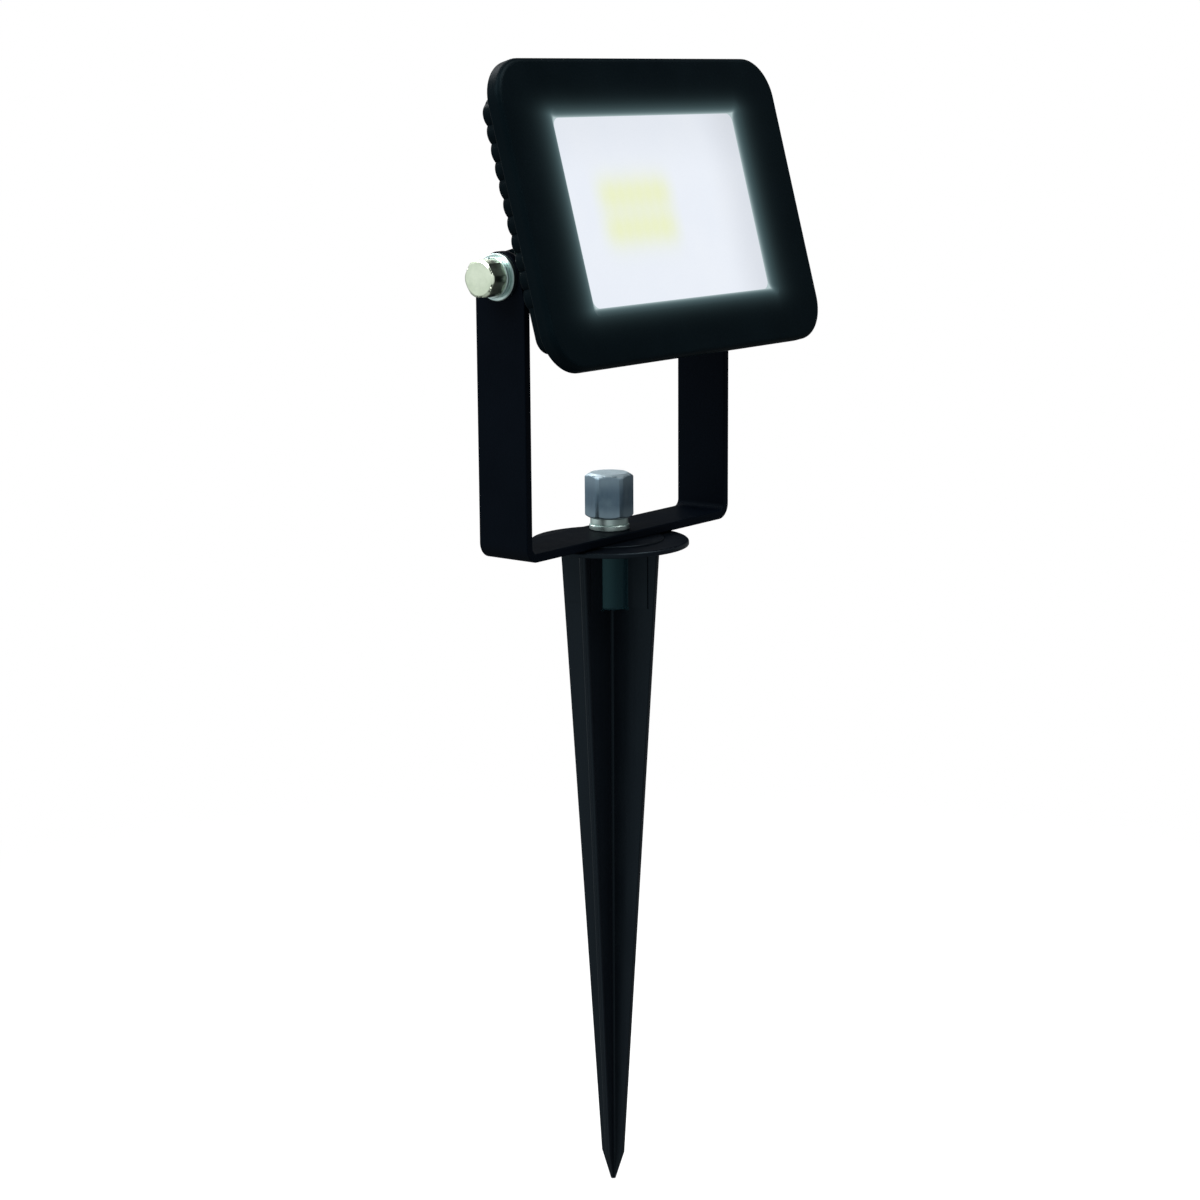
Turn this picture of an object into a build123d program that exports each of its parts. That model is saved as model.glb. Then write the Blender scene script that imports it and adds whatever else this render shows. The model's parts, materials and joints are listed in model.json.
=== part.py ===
from build123d import *
import os

# A small LED projector for the garden: a floodlight head that tilts in a U-shaped bracket, on a ground
# stake with a cruciform blade. Units are millimetres and +Z is up. The origin is the centre of the
# underside of the stake's flange, which sits on the soil. The lamp faces -Y, and its pivot axis runs
# along X. The head is modelled upright, around the pivot axis, and then leaned back by HEAD_TILT.

# ------------------------------------------------------------------ driving dimensions

# Ground stake
STAKE_LENGTH = 200.0        # flange underside to tip
FLANGE_R = 23.5
FLANGE_T = 1.6
PAD_R = 16.0                # raised seat under the bracket
PAD_TOP = 2.2               # height of that seat above the flange's underside
BLADE_TURN = 8.3            # turn of the cross about Z, in degrees
BLADE_TOP_R = 16.4          # reach of a blade at the flange
BLADE_END_R = 3.6           # reach of a blade where the point starts
BLADE_TOP_T = 2.2
BLADE_END_T = 1.7
BLADE_EDGE_R = 0.5          # rounding of the blades' long edges
BLADE_ROOT_R = 1.0          # fillet where the blades meet
POINT_LENGTH = 9.0
POINT_R = 0.7
BOSS_R = 7.0                # boss that holds the stud
BOSS_DEPTH = 18.6
BOSS_ROUND = 1.0
ROOT_R = 13.4               # thickened blade roots beside the boss
ROOT_T = 3.0
ROOT_DEPTH = 18.0
COLLAR_T = 1.0

# M6 stud and its hardware
STUD_R = 3.0
STUD_HEAD_AF = 10.0
STUD_HEAD_T = 4.0
STUD_HEAD_FOOT = -15.5
BASE_WASHER_R = 5.9
BASE_SPRING_T = 2.1
WASHER_T = 1.6
CAP_NUT_AF = 13.0
CAP_NUT_R = 7.15            # corners turned off to this radius
CAP_NUT_ROUND = 1.6         # and rounded by this much
CAP_NUT_H = 13.1
CAP_NUT_BORE = 10.0         # depth of the blind thread
THREAD_GAP = 0.05           # radial gap of a thread that turns

# Bracket, folded from flat strap
STRAP_W = 17.5
STRAP_T = 2.5
SPAN = 97.0                 # over the outsides of the arms
PIVOT_Z = 81.5              # pivot axis above the soil
BEND_R = 4.5                # outside radius of the bends
HOLE_R = 3.25               # clearance holes for M6
STRAP_EDGE_R = 0.4
ARM_END_R = 7.0             # rounded top of an arm
ARM_TAPER = 6.0             # an arm narrows over this height below the pivot

# Pivot bolts, M6 x 15
BOLT_AF = 10.0
BOLT_R = 5.35               # corners turned off to this radius
BOLT_ROUND = 1.2            # and rounded by this much
BOLT_HEAD_T = 5.5
BOLT_LENGTH = 14.7
PIVOT_WASHER_R = 6.5
WASHER_EDGE = 0.2
FRICTION_T = 1.0

# Head
HEAD_TILT = 15.5            # degrees, top leaning back
HEAD_RISE = 11.2            # centre of the face above the pivot axis
FACE_Y = -26.5              # front of the frame, ahead of the pivot axis
FRAME_W = 128.0
FRAME_H = 85.0
FRAME_D = 4.5
FRAME_CORNER = 12.0
WINDOW_W = 83.5
WINDOW_H = 52.6
WINDOW_CORNER = 2.5
WINDOW_BEVEL = 2.5          # the opening flares this much to the front on every side
LIP_T = 1.8                 # frame in front of the glass
GLASS_W = 92.4
GLASS_H = 61.9
GLASS_T = 2.0
GLASS_CORNER = 3.7
FIT = 0.3                   # gap around pieces that drop into a pocket

# Housing, a shallow cast tray with ribbed sides
TRAY_W = 110.6              # over the ribs
TRAY_H = 71.0
TRAY_D = 10.0
TRAY_CORNER = 4.5
TRAY_FLOOR = 2.5
CHAMBER_W = 84.0            # opening in front of the lamps
CHAMBER_H = 54.0
RIB_PITCH = 5.0
RIB_R = 4.0
RIB_RISE = 1.0              # the ribs stand this much proud of the tray's sides
RIB_COUNT = 11
RIB_TOP = 30.1              # uppermost rib above the centre of the face
GROOVE_COUNT = 9
GROOVE_W = 9.0
GROOVE_H = 2.4
GROOVE_D = 5.0
EAR_IN = 36.0               # the two ears that take the pivot bolts
EAR_R = 6.8

# Driver cover on the back of the tray
COVER_W = 58.0
COVER_H = 44.0
COVER_D = 19.0
COVER_WALL = 2.0
COVER_CORNER = 5.0
COVER_RIM = 5.0
RIM_T = 2.5
SEAL_T = 1.0
BACK_RIB_T = 1.5            # cooling ribs on the back of the cover
BACK_RIB_W = 1.6
BACK_RIB_COUNT = 7
BACK_RIB_PITCH = 7.4

# Lamps
BOARD_W = 70.0
BOARD_H = 36.0
BOARD_T = 1.2
PAD_T = 0.5
CHIP_COLUMNS = 8
CHIP_PITCH = 4.2
CHIP_ROW_GAP = 10.2
CHIP_W = 2.8
CHIP_H = 3.5
CHIP_T = 0.6
FUNNEL_W = 44.0             # small end of the reflector
FUNNEL_H = 20.0
SHEET_T = 0.6

# Screws: shank radius, head radius, head height and length
FRAME_SCREW = (1.5, 2.75, 1.9, 10.0)
BOARD_SCREW = (1.25, 2.4, 1.3, 3.3)
COVER_SCREW = (1.25, 2.5, 1.6, 7.0)
DRIVER_SCREW = (1.0, 1.9, 1.3, 3.6)
SCREW_GAP = 0.1             # radial gap where a screw passes through
COUNTERBORE_R = 2.9
COUNTERBORE_D = 3.0
FRAME_TAP_D = 3.2           # depth of the threads in the front frame

# Driver
DRIVER_W = 50.0
DRIVER_H = 22.0
DRIVER_T = 1.6
DRIVER_RISE = 20.0          # centre of the driver board above the pivot axis
STANDOFF = 2.0

# Cable and gland
GLAND_X = 12.0
GLAND_R = 6.0
GLAND_AF = 15.0
CABLE_R = 3.3
CABLE_START_Y = 1.0
CABLE_END_Y = 37.0
CORE_R = 1.0
CORE_TAIL = 7.0             # bare length of the cores beyond the sheath
LEAD_R = 0.45

# ------------------------------------------------------------------ derived places

TRAY_FRONT = FACE_Y + FRAME_D
TRAY_BACK = TRAY_FRONT + TRAY_D
FLOOR_FRONT = TRAY_BACK - TRAY_FLOOR
GLASS_FRONT = FACE_Y + LIP_T
GLASS_BACK = GLASS_FRONT + GLASS_T
BOARD_BACK = FLOOR_FRONT - PAD_T
BOARD_FRONT = BOARD_BACK - BOARD_T
RIM_FRONT = TRAY_BACK + SEAL_T
COVER_BACK = RIM_FRONT + COVER_D
COVER_INSIDE = COVER_BACK - COVER_WALL
DRIVER_BACK = COVER_INSIDE - STANDOFF
DRIVER_FRONT = DRIVER_BACK - DRIVER_T
STRAP_TOP = PAD_TOP + STRAP_T
NUT_FOOT = STRAP_TOP + WASHER_T + BASE_SPRING_T
ARM_OUT = SPAN / 2
ARM_IN = ARM_OUT - STRAP_T
EAR_OUT = ARM_IN - FRICTION_T
BOLT_SEAT = ARM_OUT + 2 * WASHER_T
SCREW_X = 50.3              # frame screws, from the centre of the face
SCREW_Z = 29.8
COVER_SCREW_X = 30.0
COVER_SCREW_Z = 23.2
BOARD_SCREW_X = 32.0
BOARD_SCREW_Z = 15.5
LEAD_X = 0.9
LEAD_Z = -6.4               # leads cross the tray's floor here, below the pivot axis

FOUR = [(1, 1), (1, -1), (-1, 1), (-1, -1)]


# ------------------------------------------------------------------ shape helpers

def rod_x(radius, start, end, y=0.0, z=0.0):
    """A round bar along X."""
    return Pos((start + end) / 2, y, z) * Rot(0, 90, 0) * Cylinder(radius, abs(end - start))


def rod_y(radius, start, end, x=0.0, z=0.0):
    """A round bar along Y."""
    return Pos(x, (start + end) / 2, z) * Rot(90, 0, 0) * Cylinder(radius, abs(end - start))


def rod_z(radius, start, end, x=0.0, y=0.0):
    """A round bar along Z."""
    return Pos(x, y, (start + end) / 2) * Cylinder(radius, abs(end - start))


def block(low, high):
    """A box between two corners."""
    size = [b - a for a, b in zip(low, high)]
    centre = [(a + b) / 2 for a, b in zip(low, high)]
    return Pos(*centre) * Box(*size)


def plate(width, height, front, depth, corner=0.0, rise=HEAD_RISE):
    """A plate parallel to the lamp's face, centred on it unless rise says otherwise."""
    plane = Plane(origin=(0, front, rise), x_dir=(1, 0, 0), z_dir=(0, -1, 0))
    outline = RectangleRounded(width, height, corner) if corner else Rectangle(width, height)
    return extrude(plane * outline, amount=-depth)


def funnel(near, far, near_y, far_y, corner):
    """A straight-sided solid between two rounded rectangles parallel to the lamp's face."""
    ends = []
    for (width, height), y in ((near, near_y), (far, far_y)):
        plane = Plane(origin=(0, y, HEAD_RISE), x_dir=(1, 0, 0), z_dir=(0, -1, 0))
        ends.append(plane * RectangleRounded(width, height, corner))
    return loft(ends, ruled=True)


def turned(points):
    """A solid of revolution about Z from (radius, height) points."""
    return revolve(Plane.XZ * make_face(Polyline(*points, close=True)), Axis.Z)


def hex_bar(across_flats, height, corner_r=0.0, bottom_chamfer=0.0, top_chamfer=0.0, turn=0.0, rounding=0.0):
    """A hexagonal bar standing on Z = 0, with its corners turned off to a radius and at 30 degrees."""
    outline = RegularPolygon(across_flats / 2, 6, major_radius=False, rotation=turn)
    if rounding:
        outline = fillet(outline.vertices(), rounding)
    prism = extrude(outline, amount=height)
    corner_r = corner_r or across_flats * 0.5775
    slope = 1.73
    profile = [
        (0, 0),
        (corner_r - slope * bottom_chamfer, 0),
        (corner_r, bottom_chamfer),
        (corner_r, height - top_chamfer),
        (corner_r - slope * top_chamfer, height),
        (0, height),
    ]
    if not bottom_chamfer:
        profile.remove((corner_r - slope * bottom_chamfer, 0))
    if not top_chamfer:
        profile.remove((corner_r - slope * top_chamfer, height))
    return prism & turned(profile)


def washer(outer_r, inner_r, thickness):
    """A flat washer standing on Z = 0."""
    disc = chamfer(Cylinder(outer_r, thickness).edges().filter_by(GeomType.CIRCLE), WASHER_EDGE)
    ring = disc - Cylinder(inner_r, thickness)
    return Pos(0, 0, thickness / 2) * ring


def spring_washer(outer_r, inner_r, thickness):
    """A split washer, pressed flat, standing on Z = 0."""
    width = outer_r - inner_r
    slit = Pos((outer_r + inner_r) / 2, 0, thickness / 2) * Rot(35, 0, 0) * Box(2 * width, 0.6, 3 * thickness)
    return washer(outer_r, inner_r, thickness) - slit


def on_pivot(shape, side, distance):
    """Put a shape that stands on Z = 0 onto the pivot axis, facing out, side +1 right or -1 left."""
    return Pos(side * distance, 0, 0) * Rot(0, side * 90, 0) * shape


def in_head(shape):
    """Lean a shape of the upright head back and lift it to the pivot axis."""
    return Pos(0, 0, PIVOT_Z) * Rot(-HEAD_TILT, 0, 0) * shape


def pan_screw(radius, head_r, head_t, length):
    """A pan-head screw with a cross recess: shank down from Z = 0, head above it."""
    head = fillet(Cylinder(head_r, head_t).edges().group_by(Axis.Z)[-1], head_t * 0.45)
    recess = Box(head_r * 1.1, 0.5, head_t) + Box(0.5, head_r * 1.1, head_t)
    head = Pos(0, 0, head_t / 2) * head - Pos(0, 0, head_t) * recess
    return head + rod_z(radius, -length, 0)


def screws_at(screw, places, seat_y, turn):
    """Copies of a screw at (x, z) places of the face, turned to point forward or back."""
    spots = []
    for x, z in places:
        spots.append(Pos(x, seat_y, z) * Rot(turn, 0, 0) * screw)
    return spots


# ------------------------------------------------------------------ ground stake

def cross(reach, thickness, edge_r, root_r):
    """The blade's cross-section, with rounded edges and roots."""
    outline = Rectangle(2 * reach, thickness) + Rectangle(thickness, 2 * reach)
    corners = outline.vertices().sort_by(lambda corner: Vector(corner.X, corner.Y).length)
    outline = fillet(corners[:4], root_r)
    corners = outline.vertices().sort_by(lambda corner: Vector(corner.X, corner.Y).length)
    return fillet(corners[-8:], edge_r)


def make_stud():
    shank = rod_z(STUD_R, STUD_HEAD_FOOT + STUD_HEAD_T, NUT_FOOT + CAP_NUT_BORE - 0.8)
    shank = chamfer(shank.edges().group_by(Axis.Z)[-1], 0.6)
    head = Pos(0, 0, STUD_HEAD_FOOT) * hex_bar(STUD_HEAD_AF, STUD_HEAD_T)
    return shank + head


def make_stake(stud):
    point_z = POINT_LENGTH - STAKE_LENGTH
    top = cross(BLADE_TOP_R, BLADE_TOP_T, BLADE_EDGE_R, BLADE_ROOT_R)
    low = Pos(0, 0, point_z) * cross(BLADE_END_R, BLADE_END_T, BLADE_EDGE_R / 2, BLADE_ROOT_R / 2)
    tip = Pos(0, 0, -STAKE_LENGTH) * cross(POINT_R, POINT_R, BLADE_EDGE_R / 4, BLADE_ROOT_R / 8)
    blades = loft([low, top], ruled=True) + loft([tip, low], ruled=True)

    roots = Box(2 * ROOT_R, ROOT_T, ROOT_DEPTH) + Box(ROOT_T, 2 * ROOT_R, ROOT_DEPTH)
    boss = fillet(Cylinder(BOSS_R, BOSS_DEPTH).edges().group_by(Axis.Z)[0], BOSS_ROUND)
    neck = Pos(0, 0, -ROOT_DEPTH / 2) * roots + Pos(0, 0, -BOSS_DEPTH / 2) * boss
    collar = rod_z(ROOT_R, -COLLAR_T, 0)

    flange = rod_z(FLANGE_R, 0, FLANGE_T)
    flange = fillet(flange.edges().group_by(Axis.Z)[-1], 0.7)
    flange = fillet(flange.edges().group_by(Axis.Z)[0], 0.3)
    seat = rod_z(PAD_R, FLANGE_T, PAD_TOP)
    seat = fillet(seat.edges().group_by(Axis.Z)[-1], 0.3)
    body = Rot(0, 0, BLADE_TURN) * (blades + neck) + collar + flange + seat
    return body - stud


# ------------------------------------------------------------------ bracket and its hardware

def make_bracket():
    height = PIVOT_Z + STRAP_W / 2 - PAD_TOP
    middle = PAD_TOP + height / 2
    outside = Pos(0, 0, middle) * Box(SPAN, STRAP_W, height)
    outside = fillet(outside.edges().filter_by(Axis.Y).group_by(Axis.Z)[0], BEND_R)
    inside = Pos(0, 0, middle + STRAP_T) * Box(SPAN - 2 * STRAP_T, 2 * STRAP_W, height)
    inside = fillet(inside.edges().filter_by(Axis.Y).group_by(Axis.Z)[0], BEND_R - STRAP_T)
    strap = outside - inside

    shoulder = PIVOT_Z - ARM_TAPER
    outline = Polyline(
        (-STRAP_W / 2, PAD_TOP),
        (STRAP_W / 2, PAD_TOP),
        (STRAP_W / 2, shoulder),
        (ARM_END_R, PIVOT_Z),
        (-ARM_END_R, PIVOT_Z),
        (-STRAP_W / 2, shoulder),
        close=True,
    )
    side_view = extrude(Plane.YZ * make_face(outline), amount=SPAN, both=True)
    strap = strap & (side_view + rod_x(ARM_END_R, -SPAN, SPAN, z=PIVOT_Z))
    rims = [edge for edge in strap.edges() if abs(edge.center().Y) > 0.1 or edge.center().Z > PIVOT_Z]
    strap = fillet(rims, STRAP_EDGE_R)
    strap -= rod_x(HOLE_R, -SPAN, SPAN, z=PIVOT_Z)
    strap -= rod_z(HOLE_R, PAD_TOP - 1, STRAP_TOP + 1)
    return strap


def make_cap_nut():
    nut = hex_bar(CAP_NUT_AF, CAP_NUT_H, CAP_NUT_R, 0.6, 1.0, turn=8, rounding=CAP_NUT_ROUND)
    bore = rod_z(STUD_R + THREAD_GAP, 0, CAP_NUT_BORE)
    return Pos(0, 0, NUT_FOOT) * (nut - bore)


def make_pivot_bolt(side):
    head = hex_bar(BOLT_AF, BOLT_HEAD_T, BOLT_R, top_chamfer=0.5, turn=HEAD_TILT, rounding=BOLT_ROUND)
    bolt = head + rod_z(STUD_R, -BOLT_LENGTH, 0)
    return in_head(on_pivot(bolt, side, BOLT_SEAT))


def pivot_pair(shape, distance):
    """The same washer on both ends of the pivot axis."""
    return [in_head(on_pivot(shape, side, distance)) for side in (-1, 1)]


# ------------------------------------------------------------------ front of the head

def frame_screw_places():
    return [(sx * SCREW_X, HEAD_RISE + sz * SCREW_Z) for sx, sz in FOUR]


def cover_screw_places():
    return [(sx * COVER_SCREW_X, HEAD_RISE + sz * COVER_SCREW_Z) for sx, sz in FOUR]


def board_screw_places():
    return [(sx * BOARD_SCREW_X, HEAD_RISE + sz * BOARD_SCREW_Z) for sx, sz in FOUR]


def make_frame():
    body = plate(FRAME_W, FRAME_H, FACE_Y, FRAME_D, FRAME_CORNER)
    body = fillet(body.edges().group_by(Axis.Y)[0], 1.5)
    body = fillet(body.edges().group_by(Axis.Y)[-1], 0.5)
    mouth = (WINDOW_W + 2 * WINDOW_BEVEL, WINDOW_H + 2 * WINDOW_BEVEL)
    window = funnel(mouth, (WINDOW_W, WINDOW_H), FACE_Y, GLASS_FRONT, WINDOW_CORNER)
    pocket_corner = GLASS_CORNER + FIT
    pocket = plate(GLASS_W + 2 * FIT, GLASS_H + 2 * FIT, GLASS_FRONT, FRAME_D - LIP_T, pocket_corner)
    body = body - window - pocket
    for x, z in frame_screw_places():
        body -= rod_y(FRAME_SCREW[0], TRAY_FRONT - FRAME_TAP_D, TRAY_FRONT, x, z)
    return body


def make_glass():
    return plate(GLASS_W, GLASS_H, GLASS_FRONT, GLASS_T, GLASS_CORNER)


def make_gasket():
    ring = plate(GLASS_W, GLASS_H, GLASS_BACK, TRAY_FRONT - GLASS_BACK, GLASS_CORNER)
    return ring - plate(CHAMBER_W + 1, CHAMBER_H + 1, GLASS_BACK, TRAY_FRONT - GLASS_BACK, 1.5)


def make_reflector():
    wide = (CHAMBER_W - 2, CHAMBER_H - 2)
    narrow = (FUNNEL_W, FUNNEL_H)
    front = GLASS_BACK + 0.2
    back = BOARD_FRONT - 0.8
    skin = [(w + 2 * SHEET_T, h + 2 * SHEET_T) for w, h in (wide, narrow)]
    shell = funnel(skin[0], skin[1], front, back, 1.5)
    return shell - funnel(wide, narrow, front, back, 1.5)


def make_led_board():
    board = plate(BOARD_W, BOARD_H, BOARD_FRONT, BOARD_T, 1.5)
    for x, z in board_screw_places():
        board -= rod_y(BOARD_SCREW[0] + SCREW_GAP, BOARD_FRONT, BOARD_BACK, x, z)
    return board - lead_notch(BOARD_FRONT, BOARD_BACK)


def lead_notch(front, back):
    """The slot at the board's lower edge that lets the leads through."""
    return block((-5, front, HEAD_RISE - BOARD_H), (5, back, LEAD_Z + 1.2))


def make_thermal_pad():
    pad = plate(BOARD_W - 10, BOARD_H - 4, BOARD_BACK, PAD_T)
    for x, z in board_screw_places():
        pad -= block((x - 4, BOARD_BACK, z - 4), (x + 4, FLOOR_FRONT, z + 4))
    return pad - lead_notch(BOARD_BACK, FLOOR_FRONT)


def make_led_chips():
    chips = []
    for row in (-0.5, 0.5):
        for column in range(CHIP_COLUMNS):
            x = (column - (CHIP_COLUMNS - 1) / 2) * CHIP_PITCH
            z = HEAD_RISE + row * CHIP_ROW_GAP
            low = (x - CHIP_W / 2, BOARD_FRONT - CHIP_T, z - CHIP_H / 2)
            chips.append(block(low, (x + CHIP_W / 2, BOARD_FRONT, z + CHIP_H / 2)))
    return chips


# ------------------------------------------------------------------ housing and driver cover

def side_ribs():
    """Half-round ribs down both sides of the tray."""
    ribs = []
    for side in (-1, 1):
        for index in range(RIB_COUNT):
            z = HEAD_RISE + RIB_TOP - index * RIB_PITCH
            rib = rod_y(RIB_R, TRAY_FRONT + 1.2, TRAY_BACK, side * (TRAY_W / 2 - RIB_R), z)
            ribs.append(fillet(rib.edges().group_by(Axis.Y)[-1], 0.8))
    return ribs


def cooling_grooves():
    """Level grooves in the back of the tray's two wings."""
    grooves = []
    for side in (-1, 1):
        for index in range(GROOVE_COUNT):
            z = HEAD_RISE + (index - (GROOVE_COUNT - 1) / 2) * RIB_PITCH
            x = side * (TRAY_W / 2 - 3.0 - GROOVE_W / 2)
            groove = Pos(x, TRAY_BACK - GROOVE_D / 2, z) * Box(GROOVE_W, GROOVE_D, GROOVE_H)
            grooves.append(fillet(groove.edges().filter_by(Axis.Y), 0.9))
    return grooves


def make_ear(side):
    """An ear on the back of the tray with the thread for one pivot bolt."""
    ear = rod_x(EAR_R, side * EAR_IN, side * EAR_OUT)
    ends = sorted((side * EAR_IN, side * EAR_OUT))
    ear += block((ends[0], TRAY_BACK, -EAR_R), (ends[1], 0, EAR_R))
    return ear - rod_x(STUD_R + THREAD_GAP, side * EAR_IN, side * EAR_OUT)


def make_housing():
    tray = plate(TRAY_W - 2 * RIB_RISE, TRAY_H, TRAY_FRONT, TRAY_D, TRAY_CORNER)
    tray = fillet(tray.edges().group_by(Axis.Y)[-1], 1.0)
    tray += side_ribs()
    tray -= plate(CHAMBER_W, CHAMBER_H, TRAY_FRONT, TRAY_D - TRAY_FLOOR, 3.0)
    tray -= cooling_grooves()
    for x, z in frame_screw_places():
        tray -= rod_y(FRAME_SCREW[0] + SCREW_GAP, TRAY_FRONT, TRAY_BACK, x, z)
        tray -= rod_y(COUNTERBORE_R, TRAY_BACK - COUNTERBORE_D, TRAY_BACK, x, z)
    for x, z in cover_screw_places():
        tray += rod_y(2.7, FLOOR_FRONT - 2.6, FLOOR_FRONT, x, z)
        tray -= rod_y(COVER_SCREW[0], FLOOR_FRONT - 1.6, TRAY_BACK, x, z)
    for x, z in board_screw_places():
        tray -= rod_y(BOARD_SCREW[0], FLOOR_FRONT, FLOOR_FRONT + 1.8, x, z)
    tray -= rod_y(2.0, FLOOR_FRONT, TRAY_BACK, 0, LEAD_Z)
    return tray + make_ear(-1) + make_ear(1)


def make_cover_seal():
    width = COVER_W + 2 * COVER_RIM
    height = COVER_H + 2 * COVER_RIM
    seal = plate(width, height, TRAY_BACK, SEAL_T, COVER_CORNER)
    seal -= plate(COVER_W - 2 * COVER_WALL, COVER_H - 2 * COVER_WALL, TRAY_BACK, SEAL_T, 3.0)
    for x, z in cover_screw_places():
        seal -= rod_y(COVER_SCREW[0] + SCREW_GAP, TRAY_BACK, RIM_FRONT, x, z)
    return seal


def make_driver_cover():
    shell = plate(COVER_W, COVER_H, RIM_FRONT, COVER_D, COVER_CORNER)
    shell = fillet(shell.edges().group_by(Axis.Y)[-1], 2.0)
    rim = plate(COVER_W + 2 * COVER_RIM, COVER_H + 2 * COVER_RIM, RIM_FRONT, RIM_T, COVER_CORNER)
    shell += fillet(rim.edges().group_by(Axis.Y)[-1], 0.6)
    for index in range(BACK_RIB_COUNT):
        x = (index - (BACK_RIB_COUNT - 1) / 2) * BACK_RIB_PITCH
        low = (x - BACK_RIB_W / 2, COVER_BACK - 1, HEAD_RISE - 1)
        high = (x + BACK_RIB_W / 2, COVER_BACK + BACK_RIB_T, HEAD_RISE + 18)
        rib = block(low, high)
        shell += fillet(rib.edges().group_by(Axis.Y)[-1], 0.5)
    inner_w = COVER_W - 2 * COVER_WALL
    inner_h = COVER_H - 2 * COVER_WALL
    shell -= plate(inner_w, inner_h, RIM_FRONT, COVER_D - COVER_WALL, 3.0)
    for x, z in cover_screw_places():
        shell -= rod_y(COVER_SCREW[0] + SCREW_GAP, RIM_FRONT, RIM_FRONT + RIM_T, x, z)
    for x, z in driver_screw_places():
        shell += rod_y(2.4, DRIVER_BACK, COVER_INSIDE, x, z)
        shell -= rod_y(DRIVER_SCREW[0], DRIVER_BACK, COVER_INSIDE + 0.8, x, z)
    return shell - rod_y(GLAND_R, COVER_INSIDE, COVER_BACK, GLAND_X, 0)


# ------------------------------------------------------------------ driver

def driver_screw_places():
    reach_x = DRIVER_W / 2 - 3.0
    reach_z = DRIVER_H / 2 - 3.0
    return [(sx * reach_x, DRIVER_RISE + sz * reach_z) for sx, sz in ((1, 1), (-1, -1))]


def make_driver_board():
    board = plate(DRIVER_W, DRIVER_H, DRIVER_FRONT, DRIVER_T, 1.0, DRIVER_RISE)
    for x, z in driver_screw_places():
        board -= rod_y(DRIVER_SCREW[0] + SCREW_GAP, DRIVER_FRONT, DRIVER_BACK, x, z)
    return board


def make_transformer():
    """A ferrite core with its winding."""
    core = block((-7, DRIVER_FRONT - 9.5, DRIVER_RISE - 6.5), (7, DRIVER_FRONT - 1.5, DRIVER_RISE + 6.5))
    winding = Pos(0, DRIVER_FRONT - 5.5, DRIVER_RISE) * Box(10, 11, 9)
    winding = fillet(winding.edges().filter_by(Axis.Z), 2.0)
    return core + winding


def make_capacitors():
    """Two electrolytic capacitors that stand on the board."""
    cans = []
    for x, radius, length in ((15.0, 4.0, 11.0), (-13.5, 3.0, 9.0)):
        can = rod_y(radius, DRIVER_FRONT - length, DRIVER_FRONT, x, DRIVER_RISE)
        cans.append(fillet(can.edges().group_by(Axis.Y)[0], 0.5))
    return cans


def make_driver_chips():
    """The bridge rectifier and the control chip."""
    rectifier = block((-22.5, DRIVER_FRONT - 2.5, 21.5), (-17.5, DRIVER_FRONT, 28.0))
    control = block((19.8, DRIVER_FRONT - 1.6, 11.0), (23.8, DRIVER_FRONT, 17.0))
    return [rectifier, control]


def make_terminal_block():
    """Three screw terminals in one moulding."""
    body = block((-18, -4, -7.5), (-6, COVER_INSIDE, 7.5))
    for z in (-5.0, 0.0, 5.0):
        body -= rod_x(CORE_R + 0.4, -12, -6, y=-1.0, z=z)
        body -= rod_y(1.4, -4, -2.8, -10.0, z)
    return body


def wire(points, radius, bend):
    """A round wire along a path with rounded corners."""
    path = FilletPolyline(*points, radius=bend)
    start = Plane(origin=path @ 0, z_dir=path % 0)
    return sweep(start * Circle(radius), path)


def make_led_leads():
    """The two leads from the driver board to the lamp board."""
    leads = []
    for x in (-LEAD_X, LEAD_X):
        end_y = BOARD_FRONT - LEAD_R
        points = [
            (x, DRIVER_FRONT, 10.6),
            (x, -8.0, 10.6),
            (x, -8.0, LEAD_Z),
            (x, end_y, LEAD_Z),
            (x, end_y, LEAD_Z + 3.4),
        ]
        leads.append(wire(points, LEAD_R, 1.2))
    return leads


# ------------------------------------------------------------------ cable and gland

def make_gland_body():
    """The part of the gland that screws through the cover."""
    flange = Pos(0, COVER_BACK, 0) * Rot(-90, 0, 0) * hex_bar(GLAND_AF, 3.0, top_chamfer=0.5, turn=30)
    body = flange + rod_y(GLAND_R, COVER_INSIDE - 4.0, COVER_BACK + 9.0)
    body -= rod_y(CABLE_R + 0.2, COVER_INSIDE - 4.0, COVER_BACK + 3.0)
    body -= rod_y(CABLE_R + 1.4, COVER_BACK + 3.0, COVER_BACK + 9.0)
    return Pos(GLAND_X, 0, 0) * body


def make_gland_locknut():
    nut = Pos(0, COVER_INSIDE, 0) * Rot(90, 0, 0) * hex_bar(14.0, 2.5, top_chamfer=0.4, turn=0)
    return Pos(GLAND_X, 0, 0) * (nut - rod_y(GLAND_R, COVER_INSIDE - 2.5, COVER_INSIDE))


def make_gland_seal():
    seal = rod_y(CABLE_R + 1.4, COVER_BACK + 3.0, COVER_BACK + 10.0)
    return Pos(GLAND_X, 0, 0) * (seal - rod_y(CABLE_R, COVER_BACK + 3.0, COVER_BACK + 10.0))


def make_gland_nut():
    """The dome nut that squeezes the seal onto the cable."""
    dome = [(0, 0), (7.4, 0), (8.4, 1.0), (8.4, 6.5), (6.9, 9.0), (4.6, 10.6), (0, 10.6)]
    grip = extrude(RegularPolygon(GLAND_AF / 2, 6, major_radius=False, rotation=30), amount=10.6)
    nut = Pos(0, COVER_BACK + 3.2, 0) * Rot(-90, 0, 0) * (turned(dome) & grip)
    nut -= rod_y(GLAND_R + THREAD_GAP, COVER_BACK + 3.2, COVER_BACK + 10.4)
    nut -= rod_y(CABLE_R + 0.2, COVER_BACK + 3.2, COVER_BACK + 14.0)
    return Pos(GLAND_X, 0, 0) * nut


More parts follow.
